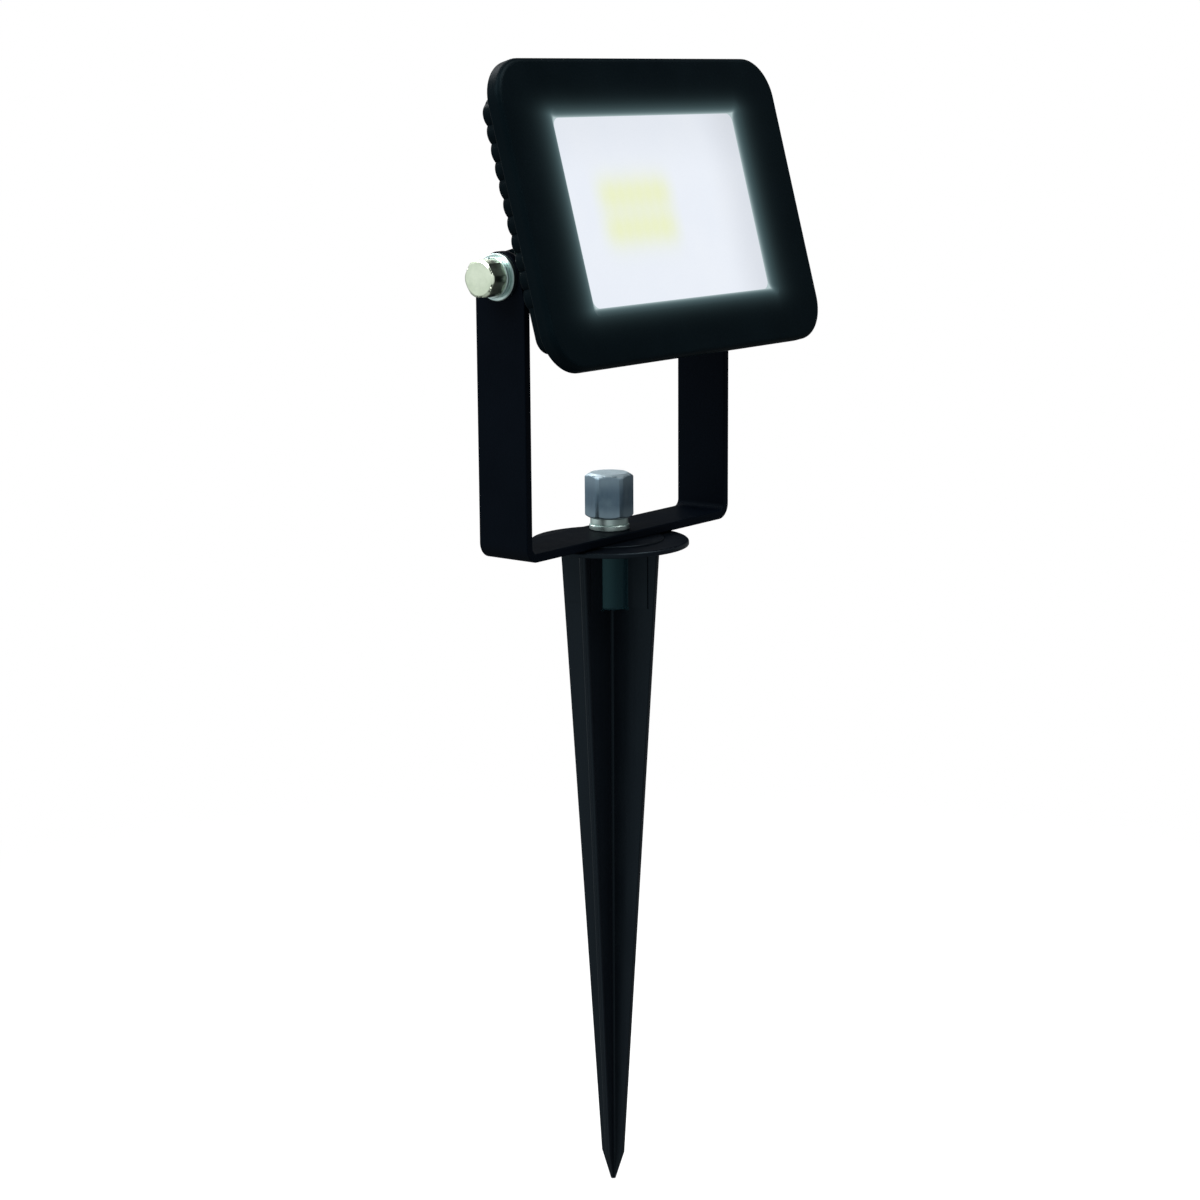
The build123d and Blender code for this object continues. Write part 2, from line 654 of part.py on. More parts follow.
def make_cable():
    cable = rod_y(CABLE_R, CABLE_START_Y, CABLE_END_Y, GLAND_X, 0)
    return fillet(cable.edges().group_by(Axis.Y)[-1], 0.5)


def core_offsets():
    """The three cores' places inside the cable's round sheath."""
    return [(0.0, 1.6), (-1.4, -0.9), (1.4, -0.9)]


def make_mains_cores():
    """Three insulated cores: short ends outside, and inside they run to the terminals."""
    cores = []
    for (dx, dz), z in zip(core_offsets(), (5.0, -5.0, 0.0)):
        cores.append(rod_y(CORE_R, CABLE_END_Y, CABLE_END_Y + CORE_TAIL, GLAND_X + dx, dz))
        start = (GLAND_X + dx, CABLE_START_Y, dz)
        path = Spline(start, (-8.0, -1.0, z), tangents=((0, -1, 0), (-1, 0, 0)), tangent_scalars=(0.8, 1.2))
        cores.append(sweep(Plane(origin=path @ 0, z_dir=path % 0) * Circle(CORE_R), path))
    return cores


# ------------------------------------------------------------------ assembly

def make_parts():
    frame_screw = pan_screw(*FRAME_SCREW)
    board_screw = pan_screw(*BOARD_SCREW)
    cover_screw = pan_screw(*COVER_SCREW)
    driver_screw = pan_screw(*DRIVER_SCREW)
    stud = make_stud()

    head_nodes = {
        "front_frame": make_frame(),
        "front_glass": make_glass(),
        "glass_gasket": make_gasket(),
        "reflector": make_reflector(),
        "led_board": make_led_board(),
        "led_chips": make_led_chips(),
        "led_board_screws": screws_at(board_screw, board_screw_places(), BOARD_FRONT, 90),
        "thermal_pad": make_thermal_pad(),
        "rear_housing": make_housing(),
        "frame_screws": screws_at(frame_screw, frame_screw_places(), TRAY_BACK - COUNTERBORE_D, -90),
        "driver_cover": make_driver_cover(),
        "cover_seal": make_cover_seal(),
        "cover_screws": screws_at(cover_screw, cover_screw_places(), RIM_FRONT + RIM_T, -90),
        "driver_board": make_driver_board(),
        "driver_screws": screws_at(driver_screw, driver_screw_places(), DRIVER_FRONT, 90),
        "driver_transformer": make_transformer(),
        "driver_capacitors": make_capacitors(),
        "driver_chips": make_driver_chips(),
        "terminal_block": make_terminal_block(),
        "led_leads": make_led_leads(),
        "mains_cores": make_mains_cores(),
        "gland_body": make_gland_body(),
        "gland_locknut": make_gland_locknut(),
        "gland_seal": make_gland_seal(),
        "gland_nut": make_gland_nut(),
        "power_cable": make_cable(),
    }
    parts = {}
    for name, shape in head_nodes.items():
        if isinstance(shape, list):
            parts[name] = [in_head(piece) for piece in shape]
        else:
            parts[name] = in_head(shape)

    parts["stake"] = make_stake(stud)
    parts["stake_stud"] = stud
    parts["bracket"] = make_bracket()
    parts["base_flat_washer"] = Pos(0, 0, STRAP_TOP) * washer(BASE_WASHER_R, HOLE_R, WASHER_T)
    base_spring = spring_washer(BASE_WASHER_R - 0.3, HOLE_R - 0.1, BASE_SPRING_T)
    parts["base_spring_washer"] = Pos(0, 0, STRAP_TOP + WASHER_T) * base_spring
    parts["cap_nut"] = make_cap_nut()
    parts["left_pivot_bolt"] = make_pivot_bolt(-1)
    parts["right_pivot_bolt"] = make_pivot_bolt(1)
    parts["pivot_flat_washers"] = pivot_pair(washer(PIVOT_WASHER_R, HOLE_R, WASHER_T), ARM_OUT)
    pivot_spring = spring_washer(PIVOT_WASHER_R - 0.9, HOLE_R - 0.1, WASHER_T)
    parts["pivot_spring_washers"] = pivot_pair(pivot_spring, ARM_OUT + WASHER_T)
    parts["friction_washers"] = pivot_pair(washer(EAR_R, HOLE_R, FRICTION_T), EAR_OUT)
    return parts


def main():
    os.makedirs("parts", exist_ok=True)
    for name, shape in make_parts().items():
        if isinstance(shape, list):
            shape = Compound(children=shape)
        export_step(shape, "parts/" + name + ".step")


main()
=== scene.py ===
import json
import math

import bpy
from mathutils import Matrix, Vector


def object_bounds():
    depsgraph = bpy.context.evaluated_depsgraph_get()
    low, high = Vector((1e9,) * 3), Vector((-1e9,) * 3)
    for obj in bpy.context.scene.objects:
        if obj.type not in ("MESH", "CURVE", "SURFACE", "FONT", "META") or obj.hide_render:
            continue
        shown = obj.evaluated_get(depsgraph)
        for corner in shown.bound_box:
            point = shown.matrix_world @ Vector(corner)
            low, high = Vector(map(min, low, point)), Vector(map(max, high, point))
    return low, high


# The looks of a small LED garden projector on a ground stake. Lengths are in metres, +Z is up and the
# lamp faces -Y. Shapes and places come from the frame, and the finishes are node materials that read
# each piece's own coordinates at rest, so they stay put when a joint moves.

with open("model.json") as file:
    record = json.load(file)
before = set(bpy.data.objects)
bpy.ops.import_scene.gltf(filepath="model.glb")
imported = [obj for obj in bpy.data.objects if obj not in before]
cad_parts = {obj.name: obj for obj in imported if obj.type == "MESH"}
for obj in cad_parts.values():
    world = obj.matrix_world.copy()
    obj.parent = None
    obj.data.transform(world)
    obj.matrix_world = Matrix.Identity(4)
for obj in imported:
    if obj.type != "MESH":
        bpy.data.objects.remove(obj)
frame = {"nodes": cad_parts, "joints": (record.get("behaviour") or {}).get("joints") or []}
cad_low, cad_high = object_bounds()
scene = bpy.context.scene
MM = 0.001

# ------------------------------------------------------------------ sizes and places

WINDOW_HALF = (41.75 * MM, 26.3 * MM)    # half of the opening in front of the glass
WINDOW_BEVEL = 2.5 * MM
FACE_RISE = 11.2 * MM                    # centre of the face above the pivot, along the face
LAMP_DEPTH = 8.5 * MM                    # lamps behind the front of the glass
LAMP_CENTRE = (-1.3 * MM, 1.2 * MM)      # middle of the lamps' glow, from the centre of the window
LAMP_ROW_GAP = 10.2 * MM
LAMP_ROW_HALF = 16.2 * MM
LAMP_PITCH = 4.2 * MM
LAMP_BLUR = 3.7 * MM
LAMP_END_FADE = 5.2 * MM                 # a row of lamps fades out over this much, each way
BLADE_TURN = math.radians(8.3)
BOSS_R = 7.0 * MM
BOSS_FOOT = -18.6 * MM
CABLE_X = 12.0 * MM
SHEATH_END = 37.0 * MM
CORE_END = 44.0 * MM

CAMERA_AZIMUTH = -52.0                   # degrees, to the left of straight ahead
CAMERA_RISE = 11.62
CAMERA_ROLL = -0.4
CAMERA_DISTANCE = 0.7438
CAMERA_AIM = Vector((-0.0047, 0.0, -0.0160))
CAMERA_LENS = 75.7
CAMERA_SENSOR = 36.0

joints = {joint["name"]: joint for joint in frame["joints"]}
PIVOT = Vector(joints["head_tilt"]["pos_m"])


def face_lean():
    """How far the lamp's face leans back, from the way its glass looks."""
    glass = frame["nodes"]["front_glass"].data
    widest = max(glass.polygons, key=lambda polygon: polygon.area)
    return math.atan2(abs(widest.normal.z), abs(widest.normal.y))


LEAN = face_lean()


# ------------------------------------------------------------------ node helpers

def rgba(red, green, blue):
    return (red, green, blue, 1.0)


class Nodes:
    """A node tree. Values may be numbers or the outputs of other nodes."""

    def __init__(self, tree):
        self.tree = tree
        self.tree.nodes.clear()

    def node(self, kind, values=None, **settings):
        made = self.tree.nodes.new(kind)
        for name, value in settings.items():
            setattr(made, name, value)
        for key, value in (values or {}).items():
            if isinstance(value, bpy.types.NodeSocket):
                self.tree.links.new(value, made.inputs[key])
            else:
                made.inputs[key].default_value = value
        return made

    def math(self, operation, first, second=0.0, third=0.0):
        return self.node("ShaderNodeMath", {0: first, 1: second, 2: third}, operation=operation).outputs[0]

    def times(self, first, second):
        return self.math("MULTIPLY", first, second)

    def minus(self, first, second):
        return self.math("SUBTRACT", first, second)

    def over(self, first, second):
        return self.math("DIVIDE", first, second)

    def absolute(self, value):
        return self.math("ABSOLUTE", value)

    def vector(self, operation, first, second=(0.0, 0.0, 0.0)):
        made = self.node("ShaderNodeVectorMath", {0: first, 1: second}, operation=operation)
        return made.outputs["Value" if operation in ("LENGTH", "DOT_PRODUCT") else "Vector"]

    def split(self, vector):
        made = self.node("ShaderNodeSeparateXYZ", {0: vector})
        return made.outputs[0], made.outputs[1], made.outputs[2]

    def join(self, x, y, z):
        return self.node("ShaderNodeCombineXYZ", {0: x, 1: y, 2: z}).outputs[0]

    def ramp(self, value, low, high, to_low=0.0, to_high=1.0):
        """A smooth step from one value to another."""
        values = {0: value, 1: low, 2: high, 3: to_low, 4: to_high}
        return self.node("ShaderNodeMapRange", values, interpolation_type="SMOOTHSTEP").outputs[0]


class Shader(Nodes):
    """One material and its nodes."""

    def __init__(self, name):
        self.material = bpy.data.materials.new(name)
        self.material.use_nodes = True
        super().__init__(self.material.node_tree)
        self.place = self.node("ShaderNodeTexCoord").outputs["Object"]

    def noise(self, size, detail=2.0, place=None, stretch=(1.0, 1.0, 1.0)):
        """Soft noise whose lumps are about this many metres across."""
        scaled = self.vector("MULTIPLY", place or self.place, tuple(part / size for part in stretch))
        values = {"Vector": scaled, "Scale": 1.0, "Detail": detail}
        return self.node("ShaderNodeTexNoise", values).outputs[0]

    def mix(self, share, first, second):
        made = self.node("ShaderNodeMix", {0: share, 6: first, 7: second}, data_type="RGBA")
        return made.outputs[2]

    def bump(self, height, depth, below=None):
        values = {"Height": height, "Distance": depth, "Strength": 1.0}
        if below:
            values["Normal"] = below
        return self.node("ShaderNodeBump", values).outputs[0]

    def rotate(self, vector, angle, axis="X_AXIS"):
        values = {"Vector": vector, "Angle": angle}
        return self.node("ShaderNodeVectorRotate", values, rotation_type=axis).outputs[0]

    def to_object(self, vector, kind):
        """A world direction in the piece's own coordinates."""
        return self.node("ShaderNodeVectorTransform", {0: vector}, convert_from="WORLD",
                         convert_to="OBJECT", vector_type=kind).outputs[0]

    def in_head(self):
        """Coordinates along the leaning head: x, depth and height from the pivot."""
        return self.split(self.rotate(self.vector("SUBTRACT", self.place, tuple(PIVOT)), LEAN))

    def near(self, value, target, reach):
        """1 within reach of the target and 0 outside."""
        return self.math("COMPARE", value, target, reach)

    def level_faces(self, elsewhere, on_level):
        """One value for faces that look up or down and another for the rest."""
        _, _, facing = self.split(self.node("ShaderNodeNewGeometry").outputs["Normal"])
        return self.ramp(self.absolute(facing), 0.5, 0.9, elsewhere, on_level)

    def finish(self, **values):
        named = {key.replace("_", " "): value for key, value in values.items()}
        return self.surface(self.node("ShaderNodeBsdfPrincipled", named).outputs[0])

    def surface(self, shading):
        self.node("ShaderNodeOutputMaterial", {"Surface": shading})
        return self.material


def turned_marks(shader, axis_point, axis, size):
    """Noise that runs in rings round an axis, as on a turned face."""
    offset = shader.vector("SUBTRACT", shader.place, tuple(axis_point))
    flat = shader.vector("MULTIPLY", offset, tuple(0.0 if part else 1.0 for part in axis))
    radius = shader.vector("LENGTH", flat)
    return shader.noise(size, 2.0, shader.join(radius, 0.0, 0.0))


# ------------------------------------------------------------------ finishes

def powder_coat(name, colour, sheen, grain=0.9 * MM, glow=None, specular=0.030):
    """Satin black powder coat: orange peel, a little fine grain and slow changes of gloss."""
    shader = Shader(name)
    peel = shader.noise(grain, 2.0)
    dust = shader.noise(0.22 * MM, 1.0)
    clouds = shader.noise(14 * MM, 3.0)
    base = shader.mix(clouds, rgba(*colour), rgba(*[part * 1.7 for part in colour]))
    base = shader.mix(shader.ramp(dust, 0.66, 0.80), base, rgba(*[part * 3.0 for part in colour]))
    normal = shader.bump(peel, 0.035 * MM)
    normal = shader.bump(dust, 0.012 * MM, normal)
    values = {
        "Base_Color": base,
        "Roughness": shader.ramp(clouds, 0.3, 0.7, 0.34, 0.46),
        "Specular_IOR_Level": shader.times(shader.level_faces(1.0, 0.15), specular),
        "Specular_Tint": rgba(*sheen),
        "Normal": normal,
    }
    # Painted glow: where a glow is given, the paint carries emission that stands in for the window's light
    # spilling over the frame.
    if glow:
        values["Emission_Color"] = glow(shader)
        values["Emission_Strength"] = 1.0
    return shader.finish(**values)


def window_distance(shader):
    """How far a point lies from the lit glass. The bevel counts for more on the right of the window."""
    x, _, height = shader.in_head()
    outside = shader.minus(shader.absolute(x), WINDOW_HALF[0])
    on_bevel = shader.over(shader.math("MINIMUM", outside, WINDOW_BEVEL), WINDOW_BEVEL)
    on_bevel = shader.math("MAXIMUM", on_bevel, 0.0)
    bevel_reach = shader.ramp(x, -1 * MM, 1 * MM, 0.7 * MM, 2.4 * MM)
    beyond = shader.math("MAXIMUM", shader.minus(outside, WINDOW_BEVEL), 0.0)
    side = shader.math("MULTIPLY_ADD", on_bevel, bevel_reach, shader.over(beyond, 1.8))
    rise = shader.absolute(shader.minus(height, FACE_RISE))
    rise = shader.math("MAXIMUM", shader.minus(rise, WINDOW_HALF[1]), 0.0)
    return shader.vector("LENGTH", shader.join(side, rise, 0.0))


def window_halo(shader):
    """Painted glow: the light that spills from the window over the dark frame, put on the paint as
    emission.
    """
    distance = window_distance(shader)
    _, depth, _ = shader.in_head()
    front = shader.ramp(depth, -22 * MM, -25 * MM)
    layers = []
    wide = (0.21, (0.56, 0.93, 1.0), 1.6 * MM)
    tight = (0.36, (0.92, 1.0, 1.0), 0.34 * MM)
    for strength, colour, reach in (wide, tight):
        fall = shader.math("EXPONENT", shader.over(distance, -reach))
        amount = shader.times(shader.times(fall, strength), front)
        layers.append(shader.mix(amount, rgba(0, 0, 0), rgba(*colour)))
    return shader.vector("ADD", layers[0], layers[1])


def bell(shader, value):
    """A bell curve, 1 where the value is 0."""
    return shader.math("EXPONENT", shader.times(shader.times(value, value), -0.5))


def lit_glass():
    """Frosted glass with the light of the lamps behind it painted on as emission, the two rows of lamps as
    soft yellow bands.
    """
    shader = Shader("frosted_glass")
    x, _, height = shader.in_head()
    sight = shader.to_object(shader.node("ShaderNodeNewGeometry").outputs["Incoming"], "VECTOR")
    across, along, up = shader.split(shader.rotate(sight, LEAN))
    along = shader.math("MINIMUM", along, -0.35)
    seen_x = shader.math("MULTIPLY_ADD", shader.over(across, along), LAMP_DEPTH, x)
    seen_z = shader.math("MULTIPLY_ADD", shader.over(up, along), LAMP_DEPTH, height)
    seen_x = shader.minus(seen_x, LAMP_CENTRE[0])
    seen_z = shader.minus(seen_z, FACE_RISE + LAMP_CENTRE[1])

    row = shader.over(shader.minus(shader.absolute(seen_z), LAMP_ROW_GAP / 2), LAMP_BLUR)
    far_row = shader.over(shader.math("ADD", shader.absolute(seen_z), LAMP_ROW_GAP / 2), LAMP_BLUR)
    rows = shader.math("ADD", bell(shader, row), bell(shader, far_row))
    ends = shader.ramp(shader.absolute(seen_x), LAMP_ROW_HALF + LAMP_END_FADE,
                       LAMP_ROW_HALF - LAMP_END_FADE)
    phase = shader.times(seen_x, 2 * math.pi / LAMP_PITCH)
    beads = shader.math("MULTIPLY_ADD", shader.math("COSINE", phase), -0.035, 0.965)
    band = shader.times(shader.times(ends, rows), beads)
    frost = shader.noise(0.35 * MM, 2.0)
    clouds = shader.noise(16 * MM, 2.0)
    white = shader.mix(clouds, rgba(0.79, 0.835, 0.915), rgba(0.84, 0.875, 0.935))
    colour = shader.mix(band, white, rgba(0.815, 0.862, 0.575))

    # Painted shade: the painted glow is dimmed a little towards the right edge and the top of the window.
    lift = shader.minus(height, FACE_RISE)
    strength = shader.times(shader.ramp(x, 22 * MM, 42 * MM, 1.0, 0.86),
                           shader.ramp(lift, 8 * MM, 26 * MM, 1.0, 0.93))
    strength = shader.times(strength, shader.ramp(frost, 0.2, 0.8, 0.965, 0.99))
    return shader.finish(
        Base_Color=rgba(0.020, 0.021, 0.022),
        Roughness=shader.ramp(frost, 0.3, 0.7, 0.42, 0.55),
        Specular_IOR_Level=0.12,
        Emission_Color=colour,
        Emission_Strength=strength,
        Normal=shader.bump(frost, 0.01 * MM),
    )


def moulded_stake():
    """Black moulded plastic: fine spark texture, flow streaks down the blade, and a parting line. The boss
    under the flange carries a painted teal reflection in its colour, and more gloss.
    """
    shader = Shader("stake_plastic")
    grain = shader.noise(0.30 * MM, 2.0)
    streaks = shader.noise(2.6 * MM, 3.0, stretch=(1.0, 1.0, 0.05))
    clouds = shader.noise(22 * MM, 2.0)
    base = shader.mix(streaks, rgba(0.0012, 0.0018, 0.0030), rgba(0.0028, 0.0040, 0.0058))
    base = shader.mix(shader.ramp(grain, 0.60, 0.85), base, rgba(0.006, 0.008, 0.011))

    x, y, z = shader.split(shader.rotate(shader.place, -BLADE_TURN, "Z_AXIS"))
    radius = shader.vector("LENGTH", shader.join(x, y, 0.0))
    line = shader.ramp(shader.absolute(y), 0.14 * MM, 0.05 * MM)
    line = shader.times(line, shader.math("GREATER_THAN", radius, 2.4 * MM))
    # Mask of the boss under the flange, which gets a painted teal reflection in its base colour and a
    # glossier finish.
    on_boss = shader.times(shader.ramp(radius, BOSS_R + 0.2 * MM, BOSS_R + 0.1 * MM),
                          shader.ramp(z, BOSS_FOOT - 0.6 * MM, BOSS_FOOT))
    on_boss = shader.times(on_boss, shader.math("LESS_THAN", z, -0.3 * MM))

    normal = shader.bump(grain, 0.02 * MM)
    normal = shader.bump(streaks, 0.05 * MM, normal)
    normal = shader.bump(line, 0.10 * MM, normal)
    dull = shader.ramp(clouds, 0.3, 0.7, 0.30, 0.42)
    smooth = shader.ramp(streaks, 0.3, 0.7, 0.20, 0.28)
    rough = shader.node("ShaderNodeMix", {0: on_boss, 2: dull, 3: smooth}, data_type="FLOAT").outputs[0]
    gloss = shader.ramp(on_boss, 0.0, 1.0, 0.15, 0.30)
    # The teal base colour on the boss is a painted reflection.
    return shader.finish(
        Base_Color=shader.mix(on_boss, base, rgba(0.0030, 0.0100, 0.0135)),
        Roughness=rough,
        Specular_IOR_Level=shader.times(shader.level_faces(1.0, 0.03), gloss),
        Specular_Tint=shader.mix(on_boss, rgba(0.60, 0.85, 1.0), rgba(0.45, 0.95, 1.0)),
        Normal=normal,
    )


def plated(name, light, dark, rough, axis_point=None, axis=None):
    """Zinc plate: passivation clouds, turned marks where the piece is round, fine pits and scratches."""
    shader = Shader(name)
    clouds = shader.noise(4.5 * MM, 3.0)
    pits = shader.noise(0.28 * MM, 2.0)
    colour = shader.mix(shader.ramp(clouds, 0.3, 0.72), rgba(*light), rgba(*dark))
    pitted = rgba(*[part * 0.55 for part in dark])
    colour = shader.mix(shader.ramp(pits, 0.62, 0.85, 0.0, 0.5), colour, pitted)
    normal = shader.bump(pits, 0.012 * MM)
    marks = pits
    if axis_point is not None:
        marks = turned_marks(shader, axis_point, axis, 0.25 * MM)
        normal = shader.bump(marks, 0.012 * MM, normal)
    scratch = shader.noise(0.5 * MM, 2.0, stretch=(0.12, 1.0, 1.0))
    roughness = shader.ramp(marks, 0.25, 0.75, rough - 0.06, rough + 0.08)
    roughness = shader.math("ADD", roughness, shader.ramp(scratch, 0.62, 0.72, 0.0, 0.10))
    return shader.finish(Base_Color=colour, Metallic=1.0, Roughness=roughness, Normal=normal)


def zinc_cap_nut():
    """Blue-passivated cap nut, darker on its sides, with drawn streaks and a matt top. The faces that look
    up carry a painted highlight in a pale colour, and the sides are painted lighter near the foot and
    towards the top.
    """
    shader = Shader("cap_nut_zinc")
    clouds = shader.noise(3.5 * MM, 3.0)
    streaks = shader.noise(0.9 * MM, 2.0, stretch=(1.0, 1.0, 0.08))
    pits = shader.noise(0.25 * MM, 2.0)
    _, _, height = shader.split(shader.place)
    side = shader.mix(streaks, rgba(0.070, 0.112, 0.150), rgba(0.140, 0.205, 0.262))
    side = shader.mix(shader.ramp(clouds, 0.45, 0.75, 0.0, 0.5), side, rgba(0.17, 0.24, 0.28))
    # The sides are painted lighter near the foot and towards the top.
    low = shader.ramp(height, 13 * MM, 9 * MM, 0.0, 0.55)
    high = shader.ramp(height, 15.5 * MM, 21 * MM, 0.0, 0.65)
    side = shader.mix(shader.math("MAXIMUM", low, high), side, rgba(0.29, 0.38, 0.44))
    # Painted highlight: faces that look up get a pale colour and a less metallic finish.
    top = shader.level_faces(0.0, 1.0)
    return shader.finish(
        Base_Color=shader.mix(top, side, rgba(0.27, 0.34, 0.375)),
        Metallic=shader.ramp(top, 0.0, 1.0, 1.0, 0.35),
        Roughness=shader.ramp(streaks, 0.25, 0.75, 0.36, 0.52),
        Normal=shader.bump(streaks, 0.03 * MM, shader.bump(pits, 0.015 * MM)),
    )


def moulded(name, colour, rough=0.45, grain=0.35 * MM, specular=0.35):
    """Injection-moulded plastic or nylon with a fine matt texture and faint flow clouds."""
    shader = Shader(name)
    texture = shader.noise(grain, 2.0)
    clouds = shader.noise(6 * MM, 3.0)
    base = shader.mix(clouds, rgba(*colour), rgba(*[min(1.0, part * 1.35) for part in colour]))
    hollow = rgba(*[part * 0.7 for part in colour])
    base = shader.mix(shader.ramp(texture, 0.60, 0.85, 0.0, 0.5), base, hollow)
    return shader.finish(
        Base_Color=base,
        Roughness=shader.ramp(texture, 0.3, 0.7, rough - 0.05, rough + 0.07),
        Specular_IOR_Level=specular,
        Normal=shader.bump(texture, 0.02 * MM),
    )


def rubber(name, colour):
    """Soft rubber or silicone: matt, dusty in its hollows, with a fine pebble."""
    shader = Shader(name)
    pebble = shader.noise(0.18 * MM, 2.0)
    dust = shader.noise(3.5 * MM, 4.0)
    dusty = rgba(*[part * 2.0 + 0.004 for part in colour])
    base = shader.mix(shader.ramp(dust, 0.45, 0.8), rgba(*colour), dusty)
    return shader.finish(
        Base_Color=base,
        Roughness=shader.ramp(dust, 0.3, 0.7, 0.62, 0.82),
        Specular_IOR_Level=0.25,
        Sheen_Weight=0.08,
        Normal=shader.bump(pebble, 0.02 * MM),
    )


def cable_sheath():
    """Extruded rubber sheath with faint lines along its length."""
    shader = Shader("cable_rubber")
    x, depth, height = shader.in_head()
    lines = shader.noise(0.5 * MM, 2.0, shader.join(x, shader.times(depth, 0.03), height))
    scuffs = shader.noise(2.5 * MM, 4.0)
    black = rgba(0.0055, 0.0057, 0.0062)
    base = shader.mix(shader.ramp(scuffs, 0.5, 0.8), black, rgba(0.015, 0.015, 0.016))
    return shader.finish(
        Base_Color=base,
        Roughness=shader.ramp(scuffs, 0.3, 0.7, 0.50, 0.68),
        Specular_IOR_Level=0.14,
        Normal=shader.bump(lines, 0.05 * MM),
    )


def white_reflector():
    """Thin white reflector sheet, with the lamps' light painted on as a glow that is brightest at its small
    end where the lamps are.
    """
    shader = Shader("reflector_white")
    _, depth, _ = shader.in_head()
    grain = shader.noise(0.4 * MM, 2.0)
    colour = shader.mix(shader.noise(9 * MM, 2.0), rgba(0.86, 0.86, 0.84), rgba(0.92, 0.92, 0.91))
    return shader.finish(
        Base_Color=colour,
        Roughness=shader.ramp(grain, 0.3, 0.7, 0.22, 0.32),
        # Painted light: emission that brightens the sheet towards the lamps.
        Emission_Color=rgba(1.0, 0.98, 0.92),
        Emission_Strength=shader.ramp(depth, -21 * MM, -16.5 * MM, 0.05, 0.35),
        Normal=shader.bump(grain, 0.006 * MM),
    )


def lamp_board():
    """White solder mask over aluminium, with the copper of two lamp rows faintly raised."""
    shader = Shader("board_white")
    x, depth, height = shader.in_head()
    grain = shader.noise(0.25 * MM, 2.0)
    row = shader.absolute(shader.minus(height, FACE_RISE))
    pads = shader.near(row, LAMP_ROW_GAP / 2, 2.6 * MM)
    step = shader.math("FRACT", shader.over(x, LAMP_PITCH))
    gaps = shader.math("GREATER_THAN", shader.absolute(shader.minus(step, 0.5)), 0.06)
    copper = shader.times(pads, gaps)
    face = shader.mix(copper, rgba(0.80, 0.81, 0.80), rgba(0.87, 0.87, 0.83))
    mask = shader.ramp(depth, -15.3 * MM, -16.0 * MM)
    metal = shader.minus(1.0, mask)
    return shader.finish(
        Base_Color=shader.mix(mask, rgba(0.68, 0.69, 0.70), face),
        Metallic=metal,
        Roughness=shader.ramp(grain, 0.3, 0.7, 0.28, 0.40),
        Normal=shader.bump(copper, 0.05 * MM, shader.bump(grain, 0.006 * MM)),
    )


def lamp_chips():
    """Lamp packages: a white case round a yellow phosphor window."""
    shader = Shader("led_phosphor")
    x, _, height = shader.in_head()
    step = shader.minus(shader.math("FRACT", shader.over(x, LAMP_PITCH)), 0.5)
    row = shader.minus(shader.absolute(shader.minus(height, FACE_RISE)), LAMP_ROW_GAP / 2)
    inside_x = shader.ramp(shader.absolute(step), 0.235, 0.200)
    inside_z = shader.ramp(shader.absolute(row), 1.35 * MM, 1.15 * MM)
    phosphor = shader.times(inside_x, inside_z)
    grain = shader.noise(0.12 * MM, 2.0)
    colour = shader.mix(grain, rgba(0.88, 0.70, 0.10), rgba(0.95, 0.82, 0.22))
    return shader.finish(
        Base_Color=shader.mix(phosphor, rgba(0.88, 0.88, 0.86), colour),
        Roughness=shader.ramp(grain, 0.3, 0.7, 0.30, 0.45),
        Emission_Color=rgba(1.0, 0.93, 0.55),
        Emission_Strength=shader.times(phosphor, 1.2),
        Normal=shader.bump(shader.times(phosphor, -1.0), 0.06 * MM),
    )


def thermal_sheet():
    """Filled silicone sheet with a glass weave just under its skin."""
    shader = Shader("thermal_pad")
    x, _, height = shader.in_head()
    thread = 2 * math.pi / (0.9 * MM)
    weave = shader.times(shader.math("SINE", shader.times(x, thread)),
                        shader.math("SINE", shader.times(height, thread)))
    base = shader.mix(shader.ramp(weave, -0.6, 0.6), rgba(0.20, 0.27, 0.34), rgba(0.26, 0.33, 0.41))
    base = shader.mix(shader.noise(5 * MM, 3.0), base, rgba(0.30, 0.36, 0.42))
    return shader.finish(Base_Color=base, Roughness=0.72, Normal=shader.bump(weave, 0.02 * MM))


def circuit_board():
    """Green solder mask with tinned tracks, on glass-fibre laminate."""
    shader = Shader("circuit_board")
    x, _, height = shader.in_head()
    cell = shader.node("ShaderNodeTexVoronoi", {
        "Vector": shader.join(x, 0.0, height),
        "Scale": 1 / (4.2 * MM),
        "Randomness": 0.75,
    }, distance="CHEBYCHEV", feature="F1")
    pads = shader.ramp(cell.outputs["Distance"], 0.22, 0.16)
    tracks = shader.noise(2.2 * MM, 0.0, shader.join(x, 0.0, shader.times(height, 2.2)))
    tracks = shader.ramp(shader.absolute(shader.minus(tracks, 0.5)), 0.05, 0.035)
    laminate = shader.noise(0.5 * MM, 2.0)
    mask = shader.mix(laminate, rgba(0.010, 0.105, 0.035), rgba(0.016, 0.140, 0.050))
    mask = shader.mix(shader.times(tracks, 0.7), mask, rgba(0.035, 0.230, 0.085))
    return shader.finish(
        Base_Color=shader.mix(pads, mask, rgba(0.72, 0.74, 0.74)),
        Metallic=pads,
        Roughness=shader.ramp(laminate, 0.3, 0.7, 0.26, 0.36),
        Normal=shader.bump(shader.math("MAXIMUM", tracks, pads), 0.05 * MM),
    )


